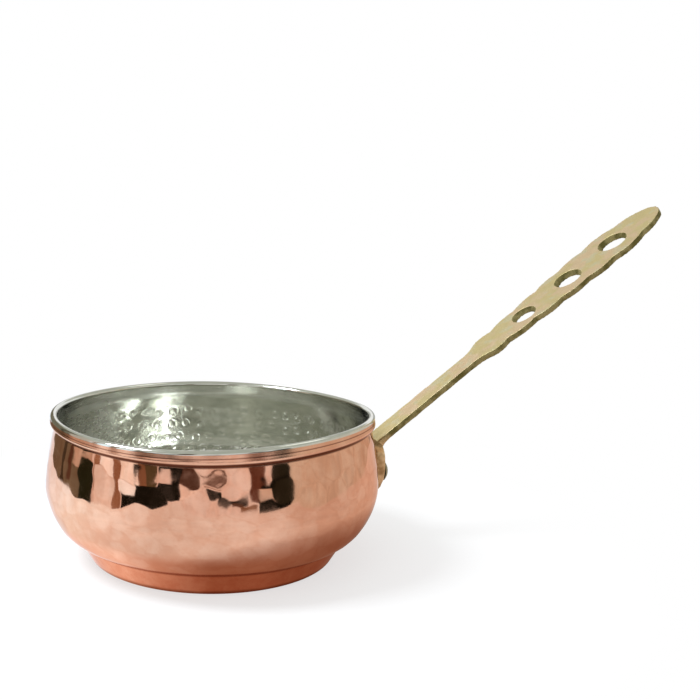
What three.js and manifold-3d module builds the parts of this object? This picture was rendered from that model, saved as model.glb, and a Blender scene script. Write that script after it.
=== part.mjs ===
import * as THREE from 'three';
import { mergeVertices } from 'three/addons/utils/BufferGeometryUtils.js';
import Module from 'manifold-3d';

// Oil heating pan. All sizes are in millimetres and +Z is up.
// The origin is the centre of the flat underside, and the handle rises along +X.

// Sheet and tinning
const SHEET_THICKNESS = 1.1;
const LINING_THICKNESS = 0.25;

// Bowl outline, measured on the outside
const FOOT_RADIUS = 52.1;
const FOOT_EDGE_ROUNDING = 2;
const CREASE_RADIUS = 58.15;
const CREASE_HEIGHT = 10.2;
const BELLY_RADIUS = 71.4;
const BELLY_HEIGHT = 32.5;
const LIP_RADIUS = 70;
const TOTAL_HEIGHT = 62.4;
const HEM_HEIGHT = 5.7;
const HEM_SLOT = 0.3;

// How full the belly curves are, as pulls on the ends of each curve
const CREASE_PULL_OUT = 8;
const CREASE_PULL_UP = 2.1;
const BELLY_PULL_DOWN = 8;
const BELLY_PULL_UP = 6.1;
const NECK_PULL_OUT = 0.9;
const NECK_PULL_DOWN = 9.4;

// Handle plate, with its root set below the lip
const HANDLE_SLOPE = 37.6;
const HANDLE_ROOT_GAP = 0.6;
const HANDLE_ROOT_DROP = 16.3;
const HANDLE_THICKNESS = 2.8;
const HANDLE_EDGE_ROUNDING = 0.5;
const HANDLE_LENGTH = 184.2;
const BAR_ROOT_WIDTH = 12.6;
const BAR_WIDTH = 12.5;
const BAR_SWELL_AT = 14;
const BAR_WAIST_AT = 58;
const BAR_WAIST_WIDTH = 12;
const FLARE_SHARPNESS = 1;

// Scalloped grip
const COLLAR_AT = 71;
const COLLAR_WIDTH = 20;
const FIRST_NOTCH_AT = 80.2;
const FIRST_NOTCH_WIDTH = 18;
const LAST_NOTCH_WIDTH = 27.7;
const LOBE_PITCH = 16.05;
const LOBE_COUNT = 4;
const LOBE_BULGE = 1.4;
const COLLAR_BULGE = 0.9;
const SHOULDER_AT = 165;
const SHOULDER_WIDTH = 24.4;
const END_LOBE_BULGE = 2.2;
const WIDENING_EASE = 1.4;
const END_FULLNESS = 9.5;
const TIP_FULLNESS = 7;

// Holes through the grip, as the centre along the handle, length and width
const LOW_HOLE = { at: 96.3, length: 12.2, width: 13 };
const MIDDLE_HOLE = { at: 125, length: 14, width: 15 };
const HIGH_HOLE = { at: 154.7, length: 15, width: 15.8 };

// Leaf plate that follows the wall, with heights from the handle's root
const LEAF_THICKNESS = 4.4;
const LEAF_CLEARANCE = 0.3;
const LEAF_WIDTH = 30.6;
const LEAF_TOP_WIDTH = 17;
const LEAF_TOP_RISE = 1.2;
const LEAF_WIDEST_DROP = 4.6;
const LEAF_TIP_DROP = 25.4;
const LEAF_TIP_SPREAD = 8;
const LEAF_TIP_FULLNESS = 0.8;
const LEAF_SIDE_FULLNESS = 8.4;
const ROOT_FILLET = 2.5;

// Rivets
const RIVET_RADIUS = 2;
const RIVET_CLEARANCE = 0.3;
const OUTER_HEAD_CLEARANCE = 0.3;
const INNER_HEAD_CLEARANCE = 0.4;
const OUTER_HEAD_RADIUS = 4.6;
const OUTER_HEAD_HEIGHT = 2.5;
const INNER_HEAD_RADIUS = 3.3;
const INNER_HEAD_HEIGHT = 1.4;
const UPPER_RIVET_SPACING = 16.4;
const UPPER_RIVET_DROP = 11.8;
const LOWER_RIVET_DROP = 19;

// Fineness of the curves
const ROUND_STEPS = 56;
const RIVET_STEPS = 20;
const BELLY_STEPS = 8;
const NECK_STEPS = 6;
const LIP_STEPS = 6;
const LOBE_STEPS = 6;
const END_STEPS = 8;
const HOLE_STEPS = 6;
const FOOT_STEPS = 3;
const DOME_STEPS = 5;
const LEAF_STEPS = 10;
const BEVEL_STEPS = 2;

// Reach of the cutting solids past the faces that they cut
const OVERCUT = 6;
const WELD_DISTANCE = 1e-4;

const wasm = await Module();
wasm.setup();

// Solid helpers
function toSolid(geometry) {
  const plain = geometry.clone();
  plain.deleteAttribute('normal');
  plain.deleteAttribute('uv');
  const welded = mergeVertices(plain, WELD_DISTANCE);
  const corners = welded.index.array;
  const kept = [];
  for (let i = 0; i < corners.length; i += 3) {
    const [a, b, c] = [corners[i], corners[i + 1], corners[i + 2]];
    if (a !== b && b !== c && c !== a) {
      kept.push(a, b, c);
    }
  }
  const mesh = new wasm.Mesh({
    numProp: 3,
    vertProperties: new Float32Array(welded.attributes.position.array),
    triVerts: new Uint32Array(kept),
  });
  return new wasm.Manifold(mesh);
}

function toGeometry(solid) {
  const mesh = solid.getMesh();
  const geometry = new THREE.BufferGeometry();
  geometry.setAttribute('position', new THREE.BufferAttribute(mesh.vertProperties, 3));
  geometry.setIndex(new THREE.BufferAttribute(mesh.triVerts, 1));
  geometry.computeVertexNormals();
  return geometry;
}

function turned(points, steps) {
  return new THREE.LatheGeometry(points, steps).rotateX(Math.PI / 2);
}

function point(radius, height) {
  return new THREE.Vector2(radius, height);
}

// Points of an arc about a centre, angles in degrees, counter-clockwise from outward
function arc(centre, radius, from, to, steps) {
  const points = [];
  for (let i = 0; i <= steps; i++) {
    const angle = THREE.MathUtils.degToRad(from + ((to - from) * i) / steps);
    points.push(point(centre.x + radius * Math.cos(angle), centre.y + radius * Math.sin(angle)));
  }
  return points;
}

// Each point moves square to the outline, towards its left side
function offset(points, distance) {
  return points.map((here, i) => {
    const before = points[i - 1] ?? here;
    const after = points[i + 1] ?? here;
    const into = here.clone().sub(before).normalize();
    const out = after.clone().sub(here).normalize();
    const sideIn = i === 0 ? point(-out.y, out.x) : point(-into.y, into.x);
    const sideOut = i === points.length - 1 ? sideIn : point(-out.y, out.x);
    const middle = sideIn.clone().add(sideOut).normalize();
    return here.clone().addScaledVector(middle, distance / middle.dot(sideIn));
  });
}

// Bowl outline, from the centre of the underside to the neck below the hem
const neckRadius = LIP_RADIUS - LINING_THICKNESS - SHEET_THICKNESS - HEM_SLOT;
const neckHeight = TOTAL_HEIGHT - HEM_HEIGHT;
const footSlope = THREE.MathUtils.radToDeg(
  Math.atan2(CREASE_HEIGHT, CREASE_RADIUS - FOOT_RADIUS),
);
const footCorner = FOOT_EDGE_ROUNDING * Math.tan(THREE.MathUtils.degToRad(footSlope / 2));
const lowerBelly = new THREE.CubicBezierCurve(
  point(CREASE_RADIUS, CREASE_HEIGHT),
  point(CREASE_RADIUS + CREASE_PULL_OUT, CREASE_HEIGHT + CREASE_PULL_UP),
  point(BELLY_RADIUS, BELLY_HEIGHT - BELLY_PULL_DOWN),
  point(BELLY_RADIUS, BELLY_HEIGHT),
);
const upperBelly = new THREE.CubicBezierCurve(
  point(BELLY_RADIUS, BELLY_HEIGHT),
  point(BELLY_RADIUS, BELLY_HEIGHT + BELLY_PULL_UP),
  point(neckRadius + NECK_PULL_OUT, neckHeight - NECK_PULL_DOWN),
  point(neckRadius, neckHeight),
);
const belly = [...lowerBelly.getPoints(BELLY_STEPS), ...upperBelly.getPoints(NECK_STEPS).slice(1)];
const outside = [
  point(0, 0),
  ...arc(point(FOOT_RADIUS - footCorner, FOOT_EDGE_ROUNDING), FOOT_EDGE_ROUNDING, -90, footSlope - 90, FOOT_STEPS),
  ...belly,
];

// Folded hem at the top of the wall
const hemRadius = neckRadius + HEM_SLOT / 2;
const sheetBend = HEM_SLOT / 2 + SHEET_THICKNESS;
const hemCentre = point(hemRadius, TOTAL_HEIGHT - LINING_THICKNESS - sheetBend);
const inside = offset([...outside, point(neckRadius, hemCentre.y)], SHEET_THICKNESS);
const tinned = offset([...outside, point(neckRadius, hemCentre.y)], SHEET_THICKNESS + LINING_THICKNESS);
inside[0].x = 0;
tinned[0].x = 0;
const lipTop = arc(hemCentre, sheetBend, 0, 180, LIP_STEPS);
const tinnedTop = arc(hemCentre, sheetBend + LINING_THICKNESS, 0, 180, LIP_STEPS);

const shellOutline = [
  ...outside,
  ...arc(hemCentre, HEM_SLOT / 2, 180, 0, 2),
  point(hemRadius + HEM_SLOT / 2, neckHeight),
  point(hemRadius + sheetBend, neckHeight),
  ...lipTop,
  ...inside.slice(0, -1).reverse(),
];
const liningOutline = [
  ...inside.slice(0, -1),
  ...lipTop.slice().reverse(),
  ...tinnedTop,
  ...tinned.slice(0, -1).reverse(),
];

// Wall radius and slope at a height, on the outside
function wallAt(height) {
  const above = outside.findIndex((corner, i) => i > 0 && corner.y > height);
  const low = outside[above - 1];
  const high = outside[above];
  const share = (height - low.y) / (high.y - low.y);
  return {
    radius: low.x + share * (high.x - low.x),
    lean: Math.atan2(low.x - high.x, high.y - low.y),
  };
}

// The handle's root sits on the wall at its own height
const rootHeight = TOTAL_HEIGHT - HANDLE_ROOT_DROP;
const rootRadius = BELLY_RADIUS + HANDLE_ROOT_GAP;

// Rivets stand square to the wall
function rivetPlace(across, height) {
  const wall = wallAt(height);
  const turn = Math.asin(across / wall.radius);
  return new THREE.Matrix4()
    .makeRotationZ(turn)
    .multiply(new THREE.Matrix4().makeTranslation(wall.radius, 0, height))
    .multiply(new THREE.Matrix4().makeRotationY(Math.PI / 2 - wall.lean));
}

// Half of a domed head, from its rim to its crown
function dome(radius, height, seat, side) {
  const sphere = (radius * radius + height * height) / (2 * height);
  const spread = THREE.MathUtils.radToDeg(Math.asin(radius / sphere));
  const centre = point(0, seat + side * (height - sphere));
  const crown = side * 90;
  const points = arc(centre, sphere, crown - side * spread, crown, DOME_STEPS);
  points[points.length - 1].x = 0;
  return points;
}

function rivetGeometry(place) {
  const innerSeat = -SHEET_THICKNESS - LINING_THICKNESS - INNER_HEAD_CLEARANCE;
  const outerSeat = LEAF_CLEARANCE + LEAF_THICKNESS + OUTER_HEAD_CLEARANCE;
  const outline = [
    ...dome(INNER_HEAD_RADIUS, INNER_HEAD_HEIGHT, innerSeat, -1).reverse(),
    point(RIVET_RADIUS, innerSeat),
    point(RIVET_RADIUS, outerSeat),
    ...dome(OUTER_HEAD_RADIUS, OUTER_HEAD_HEIGHT, outerSeat, 1),
  ];
  return turned(outline, RIVET_STEPS).applyMatrix4(place);
}

function rivetBore(place) {
  const radius = RIVET_RADIUS + RIVET_CLEARANCE;
  const outline = [
    point(0, -OVERCUT),
    point(radius, -OVERCUT),
    point(radius, LEAF_THICKNESS + OVERCUT),
    point(0, LEAF_THICKNESS + OVERCUT),
  ];
  return toSolid(turned(outline, RIVET_STEPS).applyMatrix4(place));
}

const rivetPlaces = {
  rivet_near: rivetPlace(-UPPER_RIVET_SPACING / 2, rootHeight - UPPER_RIVET_DROP),
  rivet_far: rivetPlace(UPPER_RIVET_SPACING / 2, rootHeight - UPPER_RIVET_DROP),
  rivet_low: rivetPlace(0, rootHeight - LOWER_RIVET_DROP),
};
const rivetBores = Object.values(rivetPlaces).map(rivetBore);

function bored(solid) {
  return rivetBores.reduce((left, bore) => left.subtract(bore), solid);
}

// Outline of one edge of the handle plate, from root to tip
function bowed(from, to, bulge) {
  const along = to.clone().sub(from).normalize();
  const control = from.clone().lerp(to, 0.5).addScaledVector(point(-along.y, along.x), 2 * bulge);
  return new THREE.QuadraticBezierCurve(from, control, to).getPoints(LOBE_STEPS).slice(1);
}

function notch(i) {
  const share = i / LOBE_COUNT;
  const width = THREE.MathUtils.lerp(
    FIRST_NOTCH_WIDTH,
    LAST_NOTCH_WIDTH,
    1 - Math.pow(1 - share, WIDENING_EASE),
  );
  return point(FIRST_NOTCH_AT + i * LOBE_PITCH, width / 2);
}

function handleEdge() {
  const swell = point(BAR_SWELL_AT, BAR_WIDTH / 2);
  const waist = point(BAR_WAIST_AT, BAR_WAIST_WIDTH / 2);
  const collar = point(COLLAR_AT, COLLAR_WIDTH / 2);
  const shoulder = point(SHOULDER_AT, SHOULDER_WIDTH / 2);
  const tip = point(HANDLE_LENGTH, 0);
  const flare = new THREE.CubicBezierCurve(
    waist,
    point((waist.x + collar.x) / 2, waist.y),
    point((waist.x + collar.x) / 2 + FLARE_SHARPNESS, waist.y + FLARE_SHARPNESS),
    collar,
  );
  const end = new THREE.CubicBezierCurve(
    shoulder,
    point(shoulder.x + END_FULLNESS, shoulder.y),
    point(tip.x, TIP_FULLNESS),
    tip,
  );
  const points = [
    point(-OVERCUT, BAR_ROOT_WIDTH / 2),
    point(0, BAR_ROOT_WIDTH / 2),
    swell,
    ...flare.getPoints(LOBE_STEPS),
    ...bowed(collar, notch(0), COLLAR_BULGE),
  ];
  for (let i = 0; i < LOBE_COUNT; i++) {
    points.push(...bowed(notch(i), notch(i + 1), LOBE_BULGE));
  }
  points.push(...bowed(notch(LOBE_COUNT), shoulder, END_LOBE_BULGE));
  points.push(...end.getPoints(END_STEPS).slice(1));
  return points;
}

function ellipsePath(hole) {
  const path = new THREE.Path();
  path.absellipse(hole.at, 0, hole.length / 2, hole.width / 2, 0, 2 * Math.PI, true);
  return new THREE.Path(path.getPoints(HOLE_STEPS));
}

// Plate with its upper face on the slope line
function handlePlate() {
  const edge = handleEdge();
  const mirrored = edge.slice(0, -1).reverse().map((corner) => point(corner.x, -corner.y));
  const shape = new THREE.Shape([...edge, ...mirrored].reverse());
  shape.holes.push(ellipsePath(LOW_HOLE), ellipsePath(MIDDLE_HOLE), ellipsePath(HIGH_HOLE));
  const plate = new THREE.ExtrudeGeometry(shape, {
    depth: HANDLE_THICKNESS - 2 * HANDLE_EDGE_ROUNDING,
    bevelEnabled: true,
    bevelThickness: HANDLE_EDGE_ROUNDING,
    bevelSize: HANDLE_EDGE_ROUNDING,
    bevelOffset: -HANDLE_EDGE_ROUNDING,
    bevelSegments: BEVEL_STEPS,
  });
  plate.translate(0, 0, HANDLE_EDGE_ROUNDING - HANDLE_THICKNESS);
  plate.rotateY(-THREE.MathUtils.degToRad(HANDLE_SLOPE));
  plate.translate(rootRadius, 0, rootHeight);
  return toSolid(plate);
}

// Leaf plate: a ring that follows the wall, cut to the leaf outline
function leafPlate() {
  const inner = offset(belly, -LEAF_CLEARANCE);
  const outer = offset(belly, -LEAF_CLEARANCE - LEAF_THICKNESS);
  const ring = toSolid(turned([inner[0], ...outer, ...inner.slice().reverse()], ROUND_STEPS));
  const half = LEAF_WIDTH / 2;
  const top = rootHeight + LEAF_TOP_RISE;
  const widest = rootHeight - LEAF_WIDEST_DROP;
  const tip = rootHeight - LEAF_TIP_DROP;
  const shape = new THREE.Shape();
  shape.moveTo(0, tip);
  shape.bezierCurveTo(
    LEAF_TIP_SPREAD, tip + LEAF_TIP_FULLNESS,
    half, widest - LEAF_SIDE_FULLNESS,
    half, widest,
  );
  shape.quadraticCurveTo(half, top, LEAF_TOP_WIDTH / 2, top);
  shape.lineTo(-LEAF_TOP_WIDTH / 2, top);
  shape.quadraticCurveTo(-half, top, -half, widest);
  shape.bezierCurveTo(
    -half, widest - LEAF_SIDE_FULLNESS,
    -LEAF_TIP_SPREAD, tip + LEAF_TIP_FULLNESS,
    0, tip,
  );
  const cutter = new THREE.ExtrudeGeometry(shape, {
    depth: BELLY_RADIUS,
    bevelEnabled: false,
    curveSegments: LEAF_STEPS,
  });
  const toWall = new THREE.Matrix4().makeBasis(
    new THREE.Vector3(0, 1, 0),
    new THREE.Vector3(0, 0, 1),
    new THREE.Vector3(1, 0, 0),
  );
  cutter.applyMatrix4(toWall).translate(FOOT_RADIUS, 0, 0);
  return ring.intersect(toSolid(cutter));
}

// Small fillet between the underside of the bar and the face of the leaf
function rootFillet() {
  const slope = THREE.MathUtils.degToRad(HANDLE_SLOPE);
  const underside = rootHeight - HANDLE_THICKNESS / Math.cos(slope);
  const face = wallAt(rootHeight).radius + LEAF_CLEARANCE + LEAF_THICKNESS;
  const corner = point(face, underside + (face - rootRadius) * Math.tan(slope));
  const shape = new THREE.Shape();
  shape.moveTo(corner.x, corner.y - ROOT_FILLET);
  shape.quadraticCurveTo(
    corner.x, corner.y,
    corner.x + ROOT_FILLET * Math.cos(slope), corner.y + ROOT_FILLET * Math.sin(slope),
  );
  shape.lineTo(corner.x, corner.y + HANDLE_THICKNESS / 2);
  shape.lineTo(corner.x - LEAF_THICKNESS / 2, corner.y);
  shape.lineTo(corner.x - LEAF_THICKNESS / 2, corner.y - ROOT_FILLET);
  const fillet = new THREE.ExtrudeGeometry(shape, {
    depth: BAR_ROOT_WIDTH - 2 * HANDLE_EDGE_ROUNDING,
    bevelEnabled: false,
    curveSegments: LOBE_STEPS,
  });
  fillet.translate(0, 0, HANDLE_EDGE_ROUNDING - BAR_ROOT_WIDTH / 2).rotateX(Math.PI / 2);
  return toSolid(fillet);
}

// Space the bowl needs, with the clearance that the casting keeps from it
function bowlRoom() {
  const room = offset(belly, -LEAF_CLEARANCE);
  const low = room[0];
  const high = room[room.length - 1];
  return toSolid(turned([point(0, low.y), ...room, point(0, high.y)], ROUND_STEPS));
}

function handleSolid() {
  const casting = handlePlate().add(leafPlate()).add(rootFillet());
  return bored(casting.subtract(bowlRoom()));
}

// Parts
function part(name, geometry, color, metalness, roughness) {
  const material = new THREE.MeshStandardMaterial({ color, metalness, roughness });
  const mesh = new THREE.Mesh(geometry, material);
  mesh.name = name;
  return mesh;
}

const group = new THREE.Group();
group.name = 'oil_heating_pan';
group.add(
  part('bowl_shell', toGeometry(bored(toSolid(turned(shellOutline, ROUND_STEPS)))), 0xc98563, 1, 0.25),
  part('tin_lining', toGeometry(bored(toSolid(turned(liningOutline, ROUND_STEPS)))), 0xa9a796, 1, 0.35),
  part('handle', toGeometry(handleSolid()), 0xcdbb85, 1, 0.4),
);
for (const [name, place] of Object.entries(rivetPlaces)) {
  group.add(part(name, rivetGeometry(place), 0x8f8455, 1, 0.4));
}

export default group;
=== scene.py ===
# %% [markdown]
# # An oil heating pan in copper, tin and brass
#
# The real pan is a small bowl, beaten from one sheet of copper and wiped with tin on the inside.
# A cast brass handle is riveted to its side. The CAD model fixes every size. This lesson makes the
# same pan as it looks: hammered, folded, tinned and cast.

# %% Load the frame
import math

import bpy
import numpy as np
from mathutils import Matrix, Vector


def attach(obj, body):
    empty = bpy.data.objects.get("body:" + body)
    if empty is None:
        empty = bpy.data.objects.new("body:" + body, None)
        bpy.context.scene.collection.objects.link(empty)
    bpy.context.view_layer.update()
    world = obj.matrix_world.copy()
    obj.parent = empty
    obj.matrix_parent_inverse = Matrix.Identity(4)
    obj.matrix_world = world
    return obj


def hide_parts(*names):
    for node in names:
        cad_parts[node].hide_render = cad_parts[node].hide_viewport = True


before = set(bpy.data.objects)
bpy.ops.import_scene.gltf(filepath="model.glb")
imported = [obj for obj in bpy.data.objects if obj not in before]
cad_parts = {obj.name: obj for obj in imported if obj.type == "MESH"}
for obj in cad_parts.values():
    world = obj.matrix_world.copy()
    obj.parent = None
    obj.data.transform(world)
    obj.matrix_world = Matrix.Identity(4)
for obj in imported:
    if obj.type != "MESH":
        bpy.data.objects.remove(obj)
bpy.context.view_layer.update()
print("CAD nodes:", sorted(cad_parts))

# %% [markdown]
# ## Sizes
#
# Metalworkers think in millimetres and Blender works in metres, so every size is written in
# millimetres and turned to metres at the last moment. The numbers are those of the CAD model,
# because the pieces take the places of its solids.

# %% Sizes of the bowl
MM = 0.001
SHEET = 1.1
TINNING = 0.25
FOOT_RADIUS = 52.1
FOOT_ROUNDING = 2.0
CREASE = (58.15, 10.2)
BELLY = (71.4, 32.5)
NECK = (68.35, 56.7)
HEM_CENTRE = (68.5, 60.9)
HEM_SLOT = 0.15
FOLD = HEM_SLOT + SHEET
RIM_HEIGHT = HEM_CENTRE[1] + FOLD + TINNING
print("rim height", round(RIM_HEIGHT, 2), "mm")

# %% [markdown]
# ## Drawing an outline
#
# A bowl raised over a stake is nearly a turned shape, so all its curves can be drawn once, on the
# plane through its axis. The helpers give a cubic curve for the belly, a bend that rounds a corner,
# an arc and a straight line.


# %% Curves for outlines
def curve(a, b, c, d, steps):
    t = np.linspace(0, 1, steps + 1)[:, None]
    return (1 - t) ** 3 * a + 3 * (1 - t) ** 2 * t * b + 3 * (1 - t) * t ** 2 * c + t ** 3 * d


def bend(a, corner, b, steps):
    t = np.linspace(0, 1, steps + 1)[:, None]
    return (1 - t) ** 2 * a + 2 * (1 - t) * t * corner + t ** 2 * b


def arc(centre, radius, start, stop, steps):
    angle = np.radians(np.linspace(start, stop, steps + 1))
    return np.c_[centre[0] + radius * np.cos(angle), centre[1] + radius * np.sin(angle)]


def line(a, b, steps):
    return np.linspace(a, b, steps + 1)


# %% [markdown]
# ## From the outside to the inside
#
# Sheet metal is equally thick everywhere, so an offset finds its inside from its outside. A second
# helper draws an outline again in even steps.


# %% Offset and even steps
def offset(points, distance):
    step = np.diff(points, axis=0)
    step /= np.linalg.norm(step, axis=1)[:, None]
    side = np.c_[-step[:, 1], step[:, 0]]
    before, after = np.r_[side[:1], side], np.r_[side, side[-1:]]
    middle = before + after
    middle /= np.linalg.norm(middle, axis=1)[:, None]
    return points + distance * middle / np.sum(middle * before, axis=1)[:, None]


def resample(points, count):
    length = np.r_[0, np.cumsum(np.linalg.norm(np.diff(points, axis=0), axis=1))]
    at = np.linspace(0, length[-1], count + 1)
    return np.c_[np.interp(at, length, points[:, 0]), np.interp(at, length, points[:, 1])]


# %% [markdown]
# ## The bowl's outline
#
# The foot is a low cone, the belly swells out above a tight crease, and the wall draws in again to
# the neck. The crease gets a small bend, because a hammer never leaves a knife-sharp corner.

# %% Outside of the bowl
foot_slope = math.degrees(math.atan2(CREASE[1], CREASE[0] - FOOT_RADIUS))
foot_corner = FOOT_ROUNDING * math.tan(math.radians(foot_slope / 2))
base = line((0, 0), (FOOT_RADIUS - foot_corner, 0), 14)
foot_edge = arc((FOOT_RADIUS - foot_corner, FOOT_ROUNDING), FOOT_ROUNDING, -90, foot_slope - 90, 6)
lower_belly = curve(CREASE, (CREASE[0] + 8, CREASE[1] + 2.1), (BELLY[0], BELLY[1] - 8), BELLY, 46)
upper_belly = curve(BELLY, (BELLY[0], BELLY[1] + 7.0), (NECK[0] + 1.6, NECK[1] - 8.8), NECK, 44)

BEND_REACH, BEND_END = 0.9, 2
up_the_foot = np.array([math.cos(math.radians(foot_slope)), math.sin(math.radians(foot_slope))])
foot_top = np.array(CREASE) - BEND_REACH * up_the_foot
foot_wall = line(foot_edge[-1], foot_top, 10)
crease_bend = bend(foot_top, CREASE, lower_belly[BEND_END], 4)
below_crease = np.vstack([base, foot_edge[1:], foot_wall[1:], crease_bend[1:]])
outside = np.vstack([below_crease, lower_belly[BEND_END + 1:], upper_belly[1:]])
crease_at = len(below_crease) - 1
print("outside of the bowl:", len(outside), "points")


def wall_radius(height):
    return np.interp(height, outside[crease_at:, 1], outside[crease_at:, 0])


# %% [markdown]
# ## The folded hem
#
# The upper edge of the sheet is folded outwards and hammered down against the wall, which hides the
# raw edge and stiffens the mouth. Below the fold the flap first slopes like the wall, and then ends
# in a small round bead above the cut edge, with a fine groove between the two.

# %% Outline of the hem
FLAP_SLOPE = 8.5
CUT_ROUNDING = 0.5
BEAD_STEP = (0.12, 0.10)
BEAD_HEIGHT, BEAD_SWELL, BEAD_TILT, BEAD_SAG = 2.2, 0.30, 0.12, 0.8
flap_inside = HEM_CENTRE[0] + HEM_SLOT
cut_centre = (flap_inside + CUT_ROUNDING, NECK[1] + CUT_ROUNDING)
flap_edge = arc(cut_centre, CUT_ROUNDING, 190, 320, 6)
fold_end = arc(HEM_CENTRE, FOLD, FLAP_SLOPE, FLAP_SLOPE, 1)[0]
bead_low = flap_edge[-1] + BEAD_STEP
groove_height = bead_low[1] + BEAD_HEIGHT
groove_out = (fold_end[1] - groove_height) * math.tan(math.radians(FLAP_SLOPE))
groove = np.array([fold_end[0] + groove_out, groove_height])
rise = np.linspace(0, 1, 13)[:, None]
swell = BEAD_SWELL * np.sin(np.pi * rise ** BEAD_SAG)
bead = bead_low + (groove - (BEAD_TILT, 0) - bead_low) * rise + np.c_[swell, 0 * rise]
flap = np.vstack([bead, line(groove, fold_end, 6)])
print("flap of the hem:", len(flap), "points")

# %% [markdown]
# ## Two closed outlines
#
# The tin lies on the inside of the sheet and over the fold, with a hair of room in the seam between
# the metals. It gets many small steps where it shows, to carry the marks of the hammer.

# %% Closed outlines
SEAM = 0.02
TINNED_STEPS = 128
wall_line = np.vstack([outside, [(NECK[0], HEM_CENTRE[1])]])
inside = offset(wall_line, SHEET)
inside[0] = (0, SHEET)
tinned = offset(wall_line, SHEET + TINNING)
tinned[0] = (0, SHEET + TINNING)

copper_outline = np.vstack([
    outside,
    line(NECK, (NECK[0], HEM_CENTRE[1]), 4)[1:],
    arc(HEM_CENTRE, HEM_SLOT, 180, 0, 4)[1:],
    line((flap_inside, HEM_CENTRE[1]), (flap_inside, NECK[1] + 0.4), 4)[1:],
    flap_edge[1:],
    flap,
    arc(HEM_CENTRE, FOLD, FLAP_SLOPE, 180, 12)[1:],
    resample(inside[::-1], 34)[1:],
])
hidden = offset(inside, SEAM)
hidden[0] = (0, SHEET + SEAM)
tin_outline = np.vstack([
    resample(hidden, 34),
    arc(HEM_CENTRE, FOLD + SEAM, 180, 0, 12)[1:],
    arc(HEM_CENTRE, FOLD + TINNING, 0, 180, 20),
    resample(tinned[::-1], TINNED_STEPS)[1:],
])
print("copper outline", len(copper_outline), "points, tin outline", len(tin_outline))

# %% [markdown]
# ## Drawing with one vertex
#
# In Blender a turned shape starts as one vertex, made by merging the corners of a tiny plane. The
# outline is drawn by extruding that vertex from point to point, as by hand.


# %% First vertex and line
def nothing_selected():
    bpy.ops.object.select_all(action="DESELECT")


def select_all():
    bpy.ops.mesh.select_all(action="SELECT")


def first_vertex(name, place):
    nothing_selected()
    bpy.ops.mesh.primitive_plane_add(size=0.001, location=place)
    piece = bpy.context.object
    piece.name = name
    bpy.ops.object.transform_apply(location=True)
    bpy.ops.object.mode_set(mode="EDIT")
    select_all()
    bpy.ops.mesh.merge(type="CENTER")
    return piece


def draw_on(points):
    for a, b in zip(points[:-1], points[1:]):
        move = tuple(float(v) for v in (np.array(b) - np.array(a)))
        bpy.ops.mesh.extrude_vertices_move(TRANSFORM_OT_translate={"value": move})


# %% [markdown]
# ## Turning an outline
#
# The Spin tool takes the line a quarter of the way around the axis. A quarter is quick to spin, and
# two rounds of copying and turning complete the circle. Where the quarters meet, and at the poles,
# doubled vertices are merged so that the shape is closed.


# %% Spin helper
SAME_PLACE = 2e-6


def turn(name, outline, steps):
    points = [(r * MM, 0.0, z * MM) for r, z in outline]
    piece = first_vertex(name, points[0])
    draw_on(points)
    select_all()
    bpy.ops.mesh.spin(steps=steps // 4, angle=math.tau / 4, center=(0, 0, 0), axis=(0, 0, 1))
    for quarters in (1, 2):
        select_all()
        bpy.ops.mesh.duplicate()
        turned = quarters * math.tau / 4
        bpy.ops.transform.rotate(value=turned, orient_axis="Z", center_override=(0, 0, 0))
    select_all()
    bpy.ops.mesh.remove_doubles(threshold=SAME_PLACE)
    bpy.ops.mesh.normals_make_consistent(inside=False)
    bpy.ops.object.mode_set(mode="OBJECT")
    bpy.ops.object.shade_smooth_by_angle(angle=math.radians(40))
    print(name, "has", len(piece.data.vertices), "vertices and", len(piece.data.polygons), "faces")
    return piece


# %% [markdown]
# ## The two skins
#
# Copper and tin are turned alike. They stay two pieces, because the coat of tin ends in a visible
# line on the fold, and each metal has its own finish.

# %% Turn the two skins
AROUND = 384
copper_bowl = turn("copper_bowl", copper_outline, AROUND)
tinned_inside = turn("tinned_inside", tin_outline, AROUND)

# %% [markdown]
# ## A mesh as numbers
#
# Hammer marks are far too many to place by hand, and each is only tenths of a millimetre deep. So
# the vertices are read as numbers, moved and written back. A number that the finish needs is kept
# on the mesh as an attribute.


# %% Vertices as numbers
def read_points(piece):
    points = np.empty(len(piece.data.vertices) * 3)
    piece.data.vertices.foreach_get("co", points)
    return points.reshape(-1, 3) / MM


def write_points(piece, points):
    piece.data.vertices.foreach_set("co", (points * MM).ravel())
    piece.data.update()


def keep(piece, name, values):
    kept = piece.data.attributes.new(name, "FLOAT", "POINT")
    kept.data.foreach_set("value", values)
    print(piece.name, "keeps", name)


# %% [markdown]
# ## Where a vertex lies on the outline
#
# Each vertex finds the point of the outline that it was turned from. That gives it a running length
# and a direction out of the metal, along which a mark moves it.


# %% Along the outline
def along_outline(points, outline):
    radius = np.hypot(points[:, 0], points[:, 1])
    place = np.empty(len(points), int)
    for start in range(0, len(points), 20000):
        part = slice(start, start + 20000)
        gap = (radius[part, None] - outline[:, 0]) ** 2 + (points[part, 2, None] - outline[:, 1]) ** 2
        place[part] = gap.argmin(axis=1)
    return place


def outline_guides(outline):
    length = np.r_[0, np.cumsum(np.linalg.norm(np.diff(outline, axis=0), axis=1))]
    outward = np.gradient(outline, axis=0)
    outward = np.c_[outward[:, 1], -outward[:, 0]]
    outward /= np.linalg.norm(outward, axis=1)[:, None]
    return length, outward


def move_out(points, angle, outward, distance):
    points[:, 0] += outward[:, 0] * np.cos(angle) * distance
    points[:, 1] += outward[:, 0] * np.sin(angle) * distance
    points[:, 2] += outward[:, 1] * distance


def smooth_step(low, high, value):
    share = np.clip((value - low) / (high - low), 0, 1)
    return share * share * (3 - 2 * share)


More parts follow.
